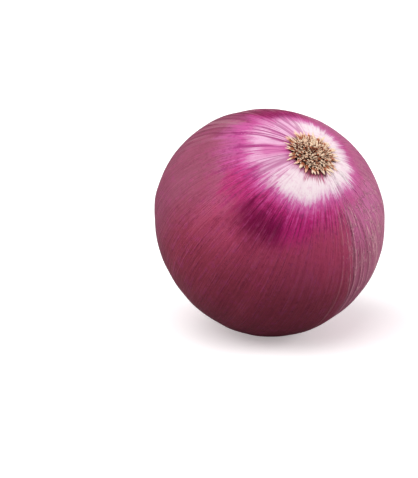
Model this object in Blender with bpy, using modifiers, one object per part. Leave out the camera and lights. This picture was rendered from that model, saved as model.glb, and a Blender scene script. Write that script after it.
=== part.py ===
"""A whole red onion lying on its side, as one comes to rest on a table.

It rests on a small flat spot under the belly, with its dried neck bent along the table behind it and
its root end lifted towards the viewer. The bulb, its papery skin and the neck grew as one piece. The
root tuft is the woody plate at the root end with the dried stubs of the trimmed roots.

Both pieces are made upright round the onion's own axis and then laid down together. On that axis the
height is 0 at the middle of the bulb, negative towards the roots and positive towards the neck.
The side at local +X is the one that comes to lie underneath.
"""

import math
import random

import bmesh
import bpy
from mathutils import Matrix, Vector, noise

MM = 0.001

# Bulb
BULB_RADIUS = 40.0 * MM
ROOT_HALF_HEIGHT = 36.3 * MM
MERIDIANS = 72
ROOT_RINGS = 18
RINGS_PER_SPAN = 3
LEAD_IN = math.radians(14.0)

# Neck side of the outline, as (radius, height), from just above the belly to the tip of the neck
SHOULDER = (
    (39.0 * MM, 9.5 * MM),
    (34.8 * MM, 19.5 * MM),
    (27.8 * MM, 28.0 * MM),
    (20.4 * MM, 34.5 * MM),
    (13.6 * MM, 40.0 * MM),
    (9.0 * MM, 44.5 * MM),
    (6.3 * MM, 49.0 * MM),
    (4.7 * MM, 54.5 * MM),
    (4.0 * MM, 60.5 * MM),
    (4.1 * MM, 65.5 * MM),
    (4.9 * MM, 69.5 * MM),
    (4.4 * MM, 72.5 * MM),
    (2.4 * MM, 74.3 * MM),
)
NECK_TIP = 75.0 * MM

# Relief of the skin, each wave as (waves round the axis, depth, shift): broad lobes of the bulb, ribs of
# the fleshy layers, and folds gathered at the neck, whose depth is a share of the radius
LOBES = ((2, 0.35 * MM, 2.2), (3, 0.25 * MM, -0.4))
RIBS = ((11, 0.09 * MM, 0.9), (17, 0.07 * MM, 2.1), (25, 0.05 * MM, 4.0))
FOLDS = ((5, 0.055, 0.3), (8, 0.065, 1.8), (13, 0.045, 3.9))
FOLDS_FROM = 22.0 * MM
FOLDS_FULL = 52.0 * MM
FOLD_TWIST = 0.9
CRUMPLE = 0.55 * MM
CRUMPLE_GRAIN = 3.2 * MM
POLE_RADIUS = 0.1 * MM

# The shoulder leans away from the table, and then the neck bends along it: (from, to, turn)
AXIS_TURNS = ((0.0, 30.0 * MM, math.radians(8.0)), (31.0 * MM, 53.0 * MM, math.radians(44.0)))
AXIS_STEPS = 240

# Pose of the whole onion on the table
ROOT_LIFT = math.radians(49.2)
ROOT_HEADING = math.radians(-55.6)
BELLY_HEIGHT = 40.67 * MM
TABLE_BLOCK = 200.0 * MM

# Root tuft
RECESS_RADIUS = 6.3 * MM
RECESS_RIM = 7.3 * MM
RECESS_DEPTH = 1.8 * MM
TOUCH_GAP = 0.3 * MM
PLATE_RADIUS = RECESS_RADIUS - TOUCH_GAP
PLATE_CROWN = 0.5 * MM
PLATE_EDGE_FALL = 0.9 * MM
PLATE_SIDES = 36
PLATE_RINGS = 5
ROOT_TAPER = 0.45
ROOT_SUNK = 0.45 * MM
STUB_COUNT = 80
STUB_LENGTH = (1.3 * MM, 2.3 * MM)
STUB_THICKNESS = 0.42 * MM
STUB_EDGE_LEAN = math.radians(62.0)
STUB_SPREAD = 0.15
STUB_SWAY = 0.4
TONGUE_COUNT = 32
TONGUE_FOOT = 5.2 * MM
TONGUE_REACH = (8.0 * MM, 9.5 * MM)
TONGUE_THICKNESS = 0.48 * MM
TONGUE_SUNK = 0.6 * MM
TONGUE_ARCH = 0.25 * MM
TONGUE_CLEAR = TOUCH_GAP + 0.1 * MM
TONGUE_SPREAD = 0.3
TONGUE_SWING = 0.12
GOLDEN_ANGLE = math.radians(137.508)
SEED = 7

WELD = 0.01 * MM
SKIN_COLOUR = (0.34, 0.035, 0.12, 1.0)
SKIN_ROUGHNESS = 0.38
ROOT_COLOUR = (0.56, 0.40, 0.22, 1.0)
ROOT_ROUGHNESS = 0.85


def material(name, colour, roughness):
    made = bpy.data.materials.new(name)
    made.use_nodes = True
    shader = made.node_tree.nodes["Principled BSDF"]
    shader.inputs["Base Color"].default_value = colour
    shader.inputs["Roughness"].default_value = roughness
    shader.inputs["Metallic"].default_value = 0.0
    return made


def smoothstep(low, high, value):
    share = min(1.0, max(0.0, (value - low) / (high - low)))
    return share * share * (3.0 - 2.0 * share)


def outline():
    """Radius and height along the skin, from the middle of the root recess to the tip of the neck."""
    floor = -ROOT_HALF_HEIGHT + RECESS_DEPTH
    points = [(0.0, floor), (RECESS_RADIUS, floor)]
    rim = math.asin(RECESS_RIM / BULB_RADIUS)
    for ring in range(ROOT_RINGS + 1):
        turn = rim + (math.pi / 2 - rim) * ring / ROOT_RINGS
        points.append((BULB_RADIUS * math.sin(turn), -ROOT_HALF_HEIGHT * math.cos(turn)))
    below = (BULB_RADIUS * math.cos(LEAD_IN), -ROOT_HALF_HEIGHT * math.sin(LEAD_IN))
    beyond = (-SHOULDER[-1][0], SHOULDER[-1][1])
    knots = [below, (BULB_RADIUS, 0.0), *SHOULDER, (0.0, NECK_TIP), beyond]
    for span in range(1, len(knots) - 2):
        before, start, end, after = (Vector(knot) for knot in knots[span - 1 : span + 3])
        for step in range(1, RINGS_PER_SPAN + 1):
            points.append(tuple(catmull_rom(before, start, end, after, step / RINGS_PER_SPAN)))
    return points


def catmull_rom(before, start, end, after, share):
    """A point on the smooth curve through four knots, at this share of the way from start to end."""
    return 0.5 * (
        2.0 * start
        + (end - before) * share
        + (2.0 * before - 5.0 * start + 4.0 * end - after) * share**2
        + (3.0 * start - before - 3.0 * end + after) * share**3
    )


def skin_relief(radius, height, angle):
    """How far the real skin stands out of the smooth turned bulb at this place."""
    if radius < RECESS_RIM and height < 0.0:
        return 0.0
    belly = min(1.0, (radius / BULB_RADIUS) ** 1.5)
    ribbed = smoothstep(-ROOT_HALF_HEIGHT, -0.5 * ROOT_HALF_HEIGHT, height)
    gathered = smoothstep(FOLDS_FROM, FOLDS_FULL, height)
    twisted = angle + FOLD_TWIST * gathered * height / NECK_TIP
    crumpled = smoothstep(FOLDS_FULL, NECK_TIP, height)
    place = Vector((radius * math.cos(angle), radius * math.sin(angle), height)) / CRUMPLE_GRAIN
    relief = belly * waves(LOBES, angle) + belly * ribbed * waves(RIBS, angle)
    return relief + radius * gathered * waves(FOLDS, twisted) + CRUMPLE * crumpled * noise.noise(place)


def waves(kind, angle):
    return sum(depth * math.cos(count * angle + shift) for count, depth, shift in kind)


def axis_turn(height):
    """How far the onion's axis has turned from straight at this height."""
    return sum(turn * smoothstep(start, end, height) for start, end, turn in AXIS_TURNS)


def axis_line():
    """Points of the axis at even steps from the middle of the bulb to the tip of the neck."""
    step = NECK_TIP / AXIS_STEPS
    line = [Vector((0.0, 0.0, 0.0))]
    for index in range(AXIS_STEPS):
        turn = axis_turn((index + 0.5) * step)
        line.append(line[-1] + step * Vector((-math.sin(turn), 0.0, math.cos(turn))))
    return line


def on_axis(line, height):
    """Where the axis is at this height."""
    if height <= 0.0:
        return Vector((0.0, 0.0, height))
    place = min(height / NECK_TIP * AXIS_STEPS, AXIS_STEPS - 1e-6)
    index = int(place)
    return line[index].lerp(line[index + 1], place - index)


def grow_skin(mesh):
    """Gives the turned bulb its relief and bends the neck."""
    line = axis_line()
    for vertex in mesh.vertices:
        x, y, height = vertex.co
        radius, angle = math.hypot(x, y), math.atan2(y, x)
        if radius > POLE_RADIUS:
            radius += skin_relief(radius, height, angle)
        turn = axis_turn(height)
        across = Vector((math.cos(turn), 0.0, math.sin(turn)))
        round_axis = math.cos(angle) * across + math.sin(angle) * Vector((0.0, 1.0, 0.0))
        vertex.co = on_axis(line, height) + radius * round_axis


def turned(name, points, steps):
    """A closed body turned round the axis from an outline that starts and ends on it."""
    mesh = bpy.data.meshes.new(name)
    edges = [(index, index + 1) for index in range(len(points) - 1)]
    mesh.from_pydata([(radius, 0.0, height) for radius, height in points], edges, [])
    body = bpy.data.objects.new(name, mesh)
    collection.objects.link(body)
    screw = body.modifiers.new("turn", "SCREW")
    screw.steps = screw.render_steps = steps
    screw.use_merge_vertices = True
    screw.merge_threshold = WELD
    return baked(body)


def baked(obj, weld=WELD):
    """The object with its modifiers applied, as a plain mesh whose faces point out."""
    bpy.context.view_layer.update()
    graph = bpy.context.evaluated_depsgraph_get()
    mesh = bpy.data.meshes.new_from_object(obj.evaluated_get(graph))
    body = bmesh.new()
    body.from_mesh(mesh)
    bmesh.ops.remove_doubles(body, verts=body.verts, dist=weld)
    bmesh.ops.recalc_face_normals(body, faces=body.faces)
    body.to_mesh(mesh)
    body.free()
    name, place = obj.name, obj.matrix_world.copy()
    parent_collection = obj.users_collection[0]
    bpy.data.objects.remove(obj)
    mesh.name = name
    made = bpy.data.objects.new(name, mesh)
    made.matrix_world = place
    parent_collection.objects.link(made)
    return made


def bulb():
    """The bulb with its skin and neck, cut flat where it rests."""
    body = turned("bulb", outline(), MERIDIANS)
    grow_skin(body.data)
    body.data.materials.append(material("red_onion_skin", SKIN_COLOUR, SKIN_ROUGHNESS))
    body.data.shade_smooth()
    return body


def skin_below(radius):
    """How far the skin has dropped below the crown of the root end at this distance from the axis."""
    return ROOT_HALF_HEIGHT * (1.0 - math.cos(math.asin(radius / BULB_RADIUS)))


def root_curve(name, points, thickness):
    """One dried root as a tapered tube with a few sides."""
    curve = bpy.data.curves.new(name, "CURVE")
    curve.dimensions = "3D"
    curve.bevel_depth = thickness
    curve.bevel_resolution = 0
    curve.use_fill_caps = True
    spline = curve.splines.new("POLY")
    spline.points.add(len(points) - 1)
    for index, (point, place) in enumerate(zip(spline.points, points)):
        point.co = (*place, 1.0)
        point.radius = 1.0 - ROOT_TAPER * index / (len(points) - 1)
    root = bpy.data.objects.new(name, curve)
    cutters.objects.link(root)
    return baked(root)


def outward(distance, angle, rise):
    """A place by its distance from the axis, angle, and rise out of the crown of the root end."""
    return Vector((distance * math.cos(angle), distance * math.sin(angle), -ROOT_HALF_HEIGHT - rise))


def plate_top(share):
    """How far the plate stands out of the crown of the root end at this share of its radius."""
    return PLATE_CROWN - PLATE_EDGE_FALL * share**2


def root_stubs(draw):
    """Short stubs all over the plate, leaning further out towards its edge."""
    for index in range(STUB_COUNT):
        share = math.sqrt((index + 0.5) / STUB_COUNT)
        distance = share * (PLATE_RADIUS - STUB_THICKNESS)
        angle = index * GOLDEN_ANGLE + draw.uniform(-STUB_SPREAD, STUB_SPREAD)
        lean = STUB_EDGE_LEAN * share**1.4 + draw.uniform(-STUB_SWAY, STUB_SWAY)
        sweep = angle + draw.uniform(-STUB_SWAY, STUB_SWAY)
        length = draw.uniform(*STUB_LENGTH)
        side = Vector((math.cos(sweep), math.sin(sweep), 0.0)) * math.sin(lean) * length
        rise = math.cos(lean) * length
        top = plate_top(share)
        start = outward(distance, angle, top - ROOT_SUNK)
        middle = outward(distance, angle, top + 0.5 * rise) + 0.4 * side
        end = outward(distance, angle, top + 0.9 * rise) + side
        thickness = STUB_THICKNESS * draw.uniform(0.8, 1.1)
        yield root_curve(f"stub_{index:02d}", (start, middle, end), thickness)


def root_tongues(draw):
    """The outermost roots, splayed flat over the skin round the plate."""
    for index in range(TONGUE_COUNT):
        angle = math.tau * (index + draw.uniform(-TONGUE_SPREAD, TONGUE_SPREAD)) / TONGUE_COUNT
        swing = draw.uniform(-TONGUE_SWING, TONGUE_SWING)
        reach = draw.uniform(*TONGUE_REACH)
        thickness = TONGUE_THICKNESS * draw.uniform(0.85, 1.1)
        over_rim = thickness + TONGUE_CLEAR + TONGUE_ARCH - skin_below(RECESS_RIM)
        over_skin = thickness + TONGUE_CLEAR - skin_below(reach)
        start = outward(TONGUE_FOOT, angle, -TONGUE_SUNK)
        middle = outward(RECESS_RIM, angle + 0.5 * swing, over_rim)
        end = outward(reach, angle + swing, over_skin)
        yield root_curve(f"tongue_{index:02d}", (start, middle, end), thickness)


def root_tuft():
    """The woody plate in its recess, with the dried roots grown from it."""
    bottom = -ROOT_HALF_HEIGHT + RECESS_DEPTH - TOUCH_GAP
    shares = [ring / PLATE_RINGS for ring in range(PLATE_RINGS + 1)]
    points = [(PLATE_RADIUS * share, -ROOT_HALF_HEIGHT - plate_top(share)) for share in shares]
    plate = turned("root_tuft", [*points, (PLATE_RADIUS, bottom), (0.0, bottom)], PLATE_SIDES)
    draw = random.Random(SEED)
    roots = bpy.data.collections.new("roots")
    for root in [*root_stubs(draw), *root_tongues(draw)]:
        roots.objects.link(root)
    join = plate.modifiers.new("join", "BOOLEAN")
    join.operation = "UNION"
    join.operand_type = "COLLECTION"
    join.collection = roots
    join.solver = "MANIFOLD"
    tuft = baked(plate, weld=0.0)
    for root in list(roots.objects):
        bpy.data.objects.remove(root)
    bpy.data.collections.remove(roots)
    tuft.data.materials.append(material("dried_root", ROOT_COLOUR, ROOT_ROUGHNESS))
    return tuft


def lay_down(pieces):
    """Turns the pieces together into the pose in which the onion rests, and cuts its flat spot."""
    pose = bpy.data.objects.new("onion_pose", None)
    pose.location = (0.0, 0.0, BELLY_HEIGHT)
    pose.rotation_euler = (0.0, math.pi / 2 + ROOT_LIFT, ROOT_HEADING + math.pi)
    collection.objects.link(pose)
    for piece in pieces:
        piece.parent = pose


def cut_flat_spot(body):
    """Takes off what would sink into the table."""
    block = bpy.data.meshes.new("table_block")
    under_table = Matrix.Translation((0.0, 0.0, -TABLE_BLOCK / 2))
    form = bmesh.new()
    bmesh.ops.create_cube(form, size=TABLE_BLOCK, matrix=under_table)
    form.to_mesh(block)
    form.free()
    cutter = bpy.data.objects.new("table_block", block)
    cutter.hide_render = True
    cutter.display_type = "WIRE"
    cutters.objects.link(cutter)
    cut = body.modifiers.new("flat_spot", "BOOLEAN")
    cut.operation = "DIFFERENCE"
    cut.object = cutter


for old in list(bpy.data.objects):
    bpy.data.objects.remove(old)
collection = bpy.data.collections.new("red_onion")
cutters = bpy.data.collections.new("cutters")
bpy.context.scene.collection.children.link(collection)
bpy.context.scene.collection.children.link(cutters)

onion_bulb = bulb()
onion_roots = root_tuft()
lay_down([onion_bulb, onion_roots])
cut_flat_spot(onion_bulb)
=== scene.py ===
"""A whole red onion lying on its side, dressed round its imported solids.

Every piece is made upright round the onion's own axis, with the root end at the bottom, and is then laid
down on the table by one turn and one lift, the same for all. On that axis the height is 0 at the middle
of the bulb. The side at +X is the one that comes to lie underneath.
"""

import math

import bmesh
import bpy
from mathutils import Euler, Matrix, Vector, noise


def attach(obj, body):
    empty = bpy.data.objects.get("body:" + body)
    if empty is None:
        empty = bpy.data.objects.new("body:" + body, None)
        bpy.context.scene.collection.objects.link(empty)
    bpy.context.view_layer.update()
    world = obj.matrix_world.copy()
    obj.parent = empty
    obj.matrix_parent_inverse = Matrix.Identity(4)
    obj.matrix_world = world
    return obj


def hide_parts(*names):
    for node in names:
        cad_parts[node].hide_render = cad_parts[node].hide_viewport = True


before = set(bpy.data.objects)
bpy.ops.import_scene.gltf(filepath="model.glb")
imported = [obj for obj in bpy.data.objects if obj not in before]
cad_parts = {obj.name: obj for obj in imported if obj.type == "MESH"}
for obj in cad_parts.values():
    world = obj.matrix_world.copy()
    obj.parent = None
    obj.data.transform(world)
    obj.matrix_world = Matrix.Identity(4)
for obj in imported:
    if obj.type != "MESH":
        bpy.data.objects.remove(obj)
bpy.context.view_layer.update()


# The bulb, its papery skin and its dried neck
# The bulb is fleshy leaf bases wrapped in thin dry skin, half glossy and ribbed lengthwise, which gathers
# into a folded neck where the leaves died back. All of it grew as one piece, so it is one closed mesh.
MM = 0.001
BULB_RADIUS = 40.0 * MM
ROOT_HALF_HEIGHT = 36.3 * MM
RECESS_RADIUS = 6.3 * MM
RECESS_RIM = 7.3 * MM
RECESS_DEPTH = 1.8 * MM
ROOT_POINTS = 40
POINTS_PER_SPAN = 8
LEAD_IN = math.radians(14.0)
SHOULDER = (
    (39.0 * MM, 9.5 * MM),
    (34.8 * MM, 19.5 * MM),
    (27.8 * MM, 28.0 * MM),
    (20.4 * MM, 34.5 * MM),
    (13.6 * MM, 40.0 * MM),
    (9.0 * MM, 44.5 * MM),
    (6.3 * MM, 49.0 * MM),
    (4.7 * MM, 54.5 * MM),
    (4.0 * MM, 60.5 * MM),
    (4.1 * MM, 65.5 * MM),
    (4.9 * MM, 69.5 * MM),
    (4.4 * MM, 72.5 * MM),
    (2.4 * MM, 74.3 * MM),
)
NECK_TIP = 75.0 * MM
MERGE_DISTANCE = 0.001 * MM
AXIS_TURNS = ((0.0, 30.0 * MM, math.radians(8.0)), (31.0 * MM, 53.0 * MM, math.radians(44.0)))
AXIS_STEPS = 240
LOBES = ((2, 0.35 * MM, 2.2), (3, 0.25 * MM, -0.4))
RIBS = ((11, 0.09 * MM, 0.9), (17, 0.07 * MM, 2.1), (25, 0.05 * MM, 4.0))
FOLDS = ((5, 0.055, 0.3), (8, 0.065, 1.8), (13, 0.045, 3.9), (21, 0.022, 1.1), (34, 0.012, 5.2))
ROOT_LIFT = math.radians(49.2)
ROOT_HEADING = math.radians(-55.6)
BELLY_HEIGHT = 40.67 * MM
LYING = (
    Matrix.Translation((0.0, 0.0, BELLY_HEIGHT))
    @ Euler((0.0, math.pi / 2 + ROOT_LIFT, ROOT_HEADING + math.pi)).to_matrix().to_4x4()
)


def catmull_rom(before, start, end, after, share):
    """A point on the smooth curve through four knots, at this share of the way from start to end."""
    return 0.5 * (
        2.0 * start
        + (end - before) * share
        + (2.0 * before - 5.0 * start + 4.0 * end - after) * share**2
        + (3.0 * start - before - 3.0 * end + after) * share**3
    )


def outline():
    """Radius and height along the skin, from the middle of the root recess to the tip of the neck."""
    floor = -ROOT_HALF_HEIGHT + RECESS_DEPTH
    points = [(0.0, floor), (RECESS_RADIUS, floor)]
    rim = math.asin(RECESS_RIM / BULB_RADIUS)
    for ring in range(ROOT_POINTS + 1):
        turn = rim + (math.pi / 2 - rim) * ring / ROOT_POINTS
        points.append((BULB_RADIUS * math.sin(turn), -ROOT_HALF_HEIGHT * math.cos(turn)))
    below = (BULB_RADIUS * math.cos(LEAD_IN), -ROOT_HALF_HEIGHT * math.sin(LEAD_IN))
    beyond = (-SHOULDER[-1][0], SHOULDER[-1][1])
    knots = [below, (BULB_RADIUS, 0.0), *SHOULDER, (0.0, NECK_TIP), beyond]
    for span in range(1, len(knots) - 2):
        before, start, end, after = (Vector(knot) for knot in knots[span - 1 : span + 3])
        for step in range(1, POINTS_PER_SPAN + 1):
            points.append(tuple(catmull_rom(before, start, end, after, step / POINTS_PER_SPAN)))
    return [Vector((radius, 0.0, height)) for radius, height in points]


def smoothstep(low, high, value):
    share = min(1.0, max(0.0, (value - low) / (high - low)))
    return share * share * (3.0 - 2.0 * share)


def axis_line():
    """The onion's axis, from the crown of the root end up through the bend to the tip of the neck."""
    line = [Vector((0.0, 0.0, -ROOT_HALF_HEIGHT)), Vector((0.0, 0.0, 0.0))]
    step = NECK_TIP / AXIS_STEPS
    for index in range(AXIS_STEPS):
        height = (index + 0.5) * step
        turn = sum(full * smoothstep(start, end, height) for start, end, full in AXIS_TURNS)
        line.append(line[-1] + step * Vector((-math.sin(turn), 0.0, math.cos(turn))))
    return line


def curve_of(name, lines):
    """A curve with one straight-sided spline for each line of points."""
    curve = bpy.data.curves.new(name, "CURVE")
    curve.dimensions = "3D"
    for line in lines:
        spline = curve.splines.new("POLY")
        spline.points.add(len(line) - 1)
        for point, place in zip(spline.points, line):
            point.co = (*place, 1.0)
    return curve


class Amount:
    """A number that a node tree works out. Adding, multiplying and so on adds the Math node for it."""

    def __init__(self, socket):
        self.socket = socket
        self.tree = socket.id_data

    def __add__(self, other):
        return calc("ADD", self, other)

    def __radd__(self, other):
        return calc("ADD", other, self)

    def __sub__(self, other):
        return calc("SUBTRACT", self, other)

    def __rsub__(self, other):
        return calc("SUBTRACT", other, self)

    def __mul__(self, other):
        return calc("MULTIPLY", self, other)

    def __rmul__(self, other):
        return calc("MULTIPLY", other, self)

    def __truediv__(self, other):
        return calc("DIVIDE", self, other)

    def __rtruediv__(self, other):
        return calc("DIVIDE", other, self)

    def __pow__(self, power):
        return calc("POWER", self, power)

    def __neg__(self):
        return calc("MULTIPLY", self, -1.0)


def add(tree, kind, inputs, **settings):
    """Adds a node, sets it up and feeds its inputs, which are given by name or by number."""
    made = tree.nodes.new(kind)
    for name, value in settings.items():
        setattr(made, name, value)
    for place, value in dict(inputs).items():
        if isinstance(value, Amount):
            value = value.socket
        if isinstance(value, bpy.types.NodeSocket):
            tree.links.new(value, made.inputs[place])
        else:
            made.inputs[place].default_value = value
    return made


def calc(operation, *values):
    """A Math node, in the tree of the first value that comes from one."""
    tree = next(value.tree for value in values if isinstance(value, Amount))
    return Amount(add(tree, "ShaderNodeMath", enumerate(values), operation=operation).outputs[0])


def ramp(value, low, high):
    """Nought up to low and one from high, with a smooth rise between. It falls if high is the lower."""
    inputs = {"Value": value, 1: low, 2: high}
    return Amount(add(value.tree, "ShaderNodeMapRange", inputs, interpolation_type="SMOOTHSTEP").outputs[0])


def vector(x, y, z):
    tree = next(value.tree for value in (x, y, z) if isinstance(value, Amount))
    return add(tree, "ShaderNodeCombineXYZ", enumerate((x, y, z))).outputs[0]


def split(socket):
    parts = add(socket.id_data, "ShaderNodeSeparateXYZ", {0: socket})
    return [Amount(part) for part in parts.outputs]


def mottle(place, scale=1.0, detail=2.0, roughness=0.5, distortion=0.0):
    """Smooth noise at a place, from about -1 to 1."""
    inputs = {
        "Vector": place,
        "Scale": scale,
        "Detail": detail,
        "Roughness": roughness,
        "Distortion": distortion,
    }
    return (Amount(add(place.id_data, "ShaderNodeTexNoise", inputs).outputs[0]) - 0.5) * 2.0


def waves(kind, angle):
    """The sum of waves round the axis, each given as its count, depth and shift."""
    return sum((calc("COSINE", angle * count + shift) * depth for count, depth, shift in kind), 0.0)


def new_tree(name, sizes):
    """A Geometry Nodes tree with a named input for each size, and one for the finish."""
    tree = bpy.data.node_groups.new(name, "GeometryNodeTree")
    tree.interface.new_socket("Geometry", in_out="OUTPUT", socket_type="NodeSocketGeometry")
    tree.interface.new_socket("Geometry", in_out="INPUT", socket_type="NodeSocketGeometry")
    for label, value in sizes.items():
        kind = "NodeSocketInt" if isinstance(value, int) else "NodeSocketFloat"
        tree.interface.new_socket(label, in_out="INPUT", socket_type=kind)
    tree.interface.new_socket("Finish", in_out="INPUT", socket_type="NodeSocketMaterial")
    inlet = tree.nodes.new("NodeGroupInput")
    return tree, inlet, {label: Amount(inlet.outputs[label]) for label in sizes}


def end_tree(tree, inlet, geometry):
    """Realises what the tree has made and gives it the finish."""
    whole = add(tree, "GeometryNodeRealizeInstances", {0: geometry}).outputs[0]
    inputs = {0: whole, "Material": inlet.outputs["Finish"]}
    dressed = add(tree, "GeometryNodeSetMaterial", inputs).outputs[0]
    add(tree, "NodeGroupOutput", {0: dressed})


def keep(tree, geometry, label, value, kind="FLOAT"):
    """Stores a value on the points under a name, for the finish to read."""
    inputs = {0: geometry, "Name": label, "Value": value}
    return add(tree, "GeometryNodeStoreNamedAttribute", inputs, data_type=kind).outputs[0]


def grow(name, start, tree, sizes, finish):
    """Runs a tree on the start shape and returns the plain mesh object it grows, laid down in its place."""
    seed = bpy.data.objects.new(name + "_seed", start)
    bpy.context.scene.collection.objects.link(seed)
    grower = seed.modifiers.new("grow", "NODES")
    grower.node_group = tree
    values = {**sizes, "Finish": finish}
    for item in tree.interface.items_tree:
        if item.in_out == "INPUT" and item.name in values:
            grower[item.identifier] = values[item.name]
    bpy.context.view_layer.update()
    graph = bpy.context.evaluated_depsgraph_get()
    mesh = bpy.data.meshes.new_from_object(seed.evaluated_get(graph))
    bpy.data.objects.remove(seed)
    return settle(name, mesh)


def settle(name, mesh):
    """Lays a mesh down with the onion, keeps it on the table, and closes and turns its faces out."""
    mesh.name = name
    mesh.transform(LYING)
    form = bmesh.new()
    form.from_mesh(mesh)
    bmesh.ops.remove_doubles(form, verts=form.verts, dist=MERGE_DISTANCE)
    bmesh.ops.recalc_face_normals(form, faces=form.faces)
    for point in form.verts:
        point.co.z = max(point.co.z, 0.0)
    form.to_mesh(mesh)
    form.free()
    mesh.shade_smooth()
    piece = bpy.data.objects.new(name, mesh)
    bpy.context.scene.collection.objects.link(piece)
    return piece


BULB_SIZES = {
    "Rings": 340,
    "Meridians": 288,
    "Bulb radius": BULB_RADIUS,
    "Root half height": ROOT_HALF_HEIGHT,
    "Neck tip": NECK_TIP,
    "Folds from": 22.0 * MM,
    "Folds full": 52.0 * MM,
    "Fold twist": 0.9,
    "Crumple": 0.85 * MM,
    "Dent": 0.22 * MM,
    "Wrinkle": 0.07 * MM,
    "Pucker": 0.07,
    "Knob from": 66.0 * MM,
}
RELIEF_POWER = 1.5
RIM_BLEND = 2.0 * MM
TIP_BLEND = 1.0 * MM
UPPER_SKIN = (-10.0 * MM, 0.0)
KNOB_SMOOTHING = 0.85
KNOB_CRUMPLE = 1.3
PUCKERS_ROUND, PUCKERS_UP = 3.4, 90.0
STREAKS_ROUND, STREAKS_UP = 15.0, 55.0
CRUMPLE_SCALE, KNOB_SCALE, DENT_SCALE = 310.0, 600.0, 55.0


def bulb_tree():
    """Turns the outline round the axis, raises the skin's relief on it and bends it along the axis."""
    tree, inlet, size = new_tree("turned_bulb", BULB_SIZES)
    rings, meridians = size["Rings"] + 1, size["Meridians"] + 1
    counts = {"Size X": 1.0, "Size Y": 1.0, "Vertices X": rings, "Vertices Y": meridians}
    sheet = add(tree, "GeometryNodeMeshGrid", counts).outputs[0]
    across, round_axis, _ = split(add(tree, "GeometryNodeInputPosition", {}).outputs[0])
    angle = (round_axis + 0.5) * math.tau
    east, north = calc("COSINE", angle), calc("SINE", angle)
    lines = inlet.outputs["Geometry"]
    inputs = {0: lines, "Factor": across + 0.5, "Curve Index": 0}
    profile = add(tree, "GeometryNodeSampleCurve", inputs, mode="FACTOR", use_all_curves=False)
    radius, _, height = split(profile.outputs["Position"])

    belly = calc("MINIMUM", (radius / size["Bulb radius"]) ** RELIEF_POWER, 1.0)
    past_rim = ramp(radius, RECESS_RIM, RECESS_RIM + RIM_BLEND)
    past_rim = calc("MAXIMUM", past_rim, ramp(height, *UPPER_SKIN))
    ribbed = ramp(height, -1.0 * size["Root half height"], -0.5 * size["Root half height"])
    gathered = ramp(height, size["Folds from"], size["Folds full"])
    crumpled = ramp(height, size["Folds full"], size["Neck tip"])
    twisted = angle + size["Fold twist"] * gathered * height / size["Neck tip"]
    knob = ramp(height, size["Knob from"], size["Neck tip"])
    folds = waves(FOLDS, twisted) * gathered * (1.0 - knob * KNOB_SMOOTHING)
    spun_east = calc("COSINE", twisted) * PUCKERS_ROUND
    spun_north = calc("SINE", twisted) * PUCKERS_ROUND
    puckered = mottle(vector(spun_east, spun_north, height * PUCKERS_UP), detail=3.0, roughness=0.6)
    folds = folds + size["Pucker"] * gathered * puckered
    place = vector(radius * east, radius * north, height)
    streak = vector(east * STREAKS_ROUND, north * STREAKS_ROUND, height * STREAKS_UP)
    relief = belly * (waves(LOBES, angle) + ribbed * waves(RIBS, angle)) + radius * folds
    crust = mottle(place, KNOB_SCALE, detail=4.0, roughness=0.7, distortion=0.6)
    crumple = mottle(place, CRUMPLE_SCALE) + knob * KNOB_CRUMPLE * crust
    relief = relief + crumpled * size["Crumple"] * crumple
    relief = relief + belly * size["Dent"] * mottle(place, DENT_SCALE)
    relief = relief + belly * size["Wrinkle"] * mottle(streak, detail=3.0, roughness=0.6)
    full = radius + past_rim * relief * ramp(radius, 0.0, TIP_BLEND)

    inputs = {0: lines, "Length": height + size["Root half height"], "Curve Index": 1}
    axis = add(tree, "GeometryNodeSampleCurve", inputs, mode="LENGTH", use_all_curves=False)
    axis_x, _, axis_z = split(axis.outputs["Position"])
    lean_x, _, lean_z = split(axis.outputs["Tangent"])
    above = vector(axis_x + full * east * lean_z, full * north, axis_z - full * east * lean_x)

    from_root = calc("ARCTAN2", radius, -height) * size["Bulb radius"]
    grain = vector(east, north, from_root)
    marked = keep(tree, sheet, "grain", grain, "FLOAT_VECTOR")
    marked = keep(tree, marked, "fold", folds)
    marked = keep(tree, marked, "gathered", gathered)
    marked = keep(tree, marked, "knob", knob)
    shaped = add(tree, "GeometryNodeSetPosition", {0: marked, "Position": above}).outputs[0]
    end_tree(tree, inlet, shaped)
    return tree


def new_finish(name):
    """A material with its shader, and the shader's tree to paint in."""
    finish = bpy.data.materials.new(name)
    finish.use_nodes = True
    return finish, finish.node_tree, finish.node_tree.nodes["Principled BSDF"]


def read(tree, label, output="Fac"):
    """What the mesh keeps under this name."""
    return add(tree, "ShaderNodeAttribute", {}, attribute_name=label).outputs[output]


def blend(share, low, high):
    """A colour between two others."""
    inputs = {0: share, 6: low, 7: high}
    return add(share.tree, "ShaderNodeMix", inputs, data_type="RGBA", clamp_factor=True).outputs[2]


def bump(tree, shader, heights):
    """Raises the surface by each height in turn, given as its amount and its depth in metres."""
    normal = None
    for height, depth in heights:
        inputs = {"Height": height, "Distance": depth, "Strength": 1.0}
        if normal is not None:
            inputs["Normal"] = normal
        normal = add(tree, "ShaderNodeBump", inputs).outputs[0]
    tree.links.new(normal, shader.inputs["Normal"])


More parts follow.
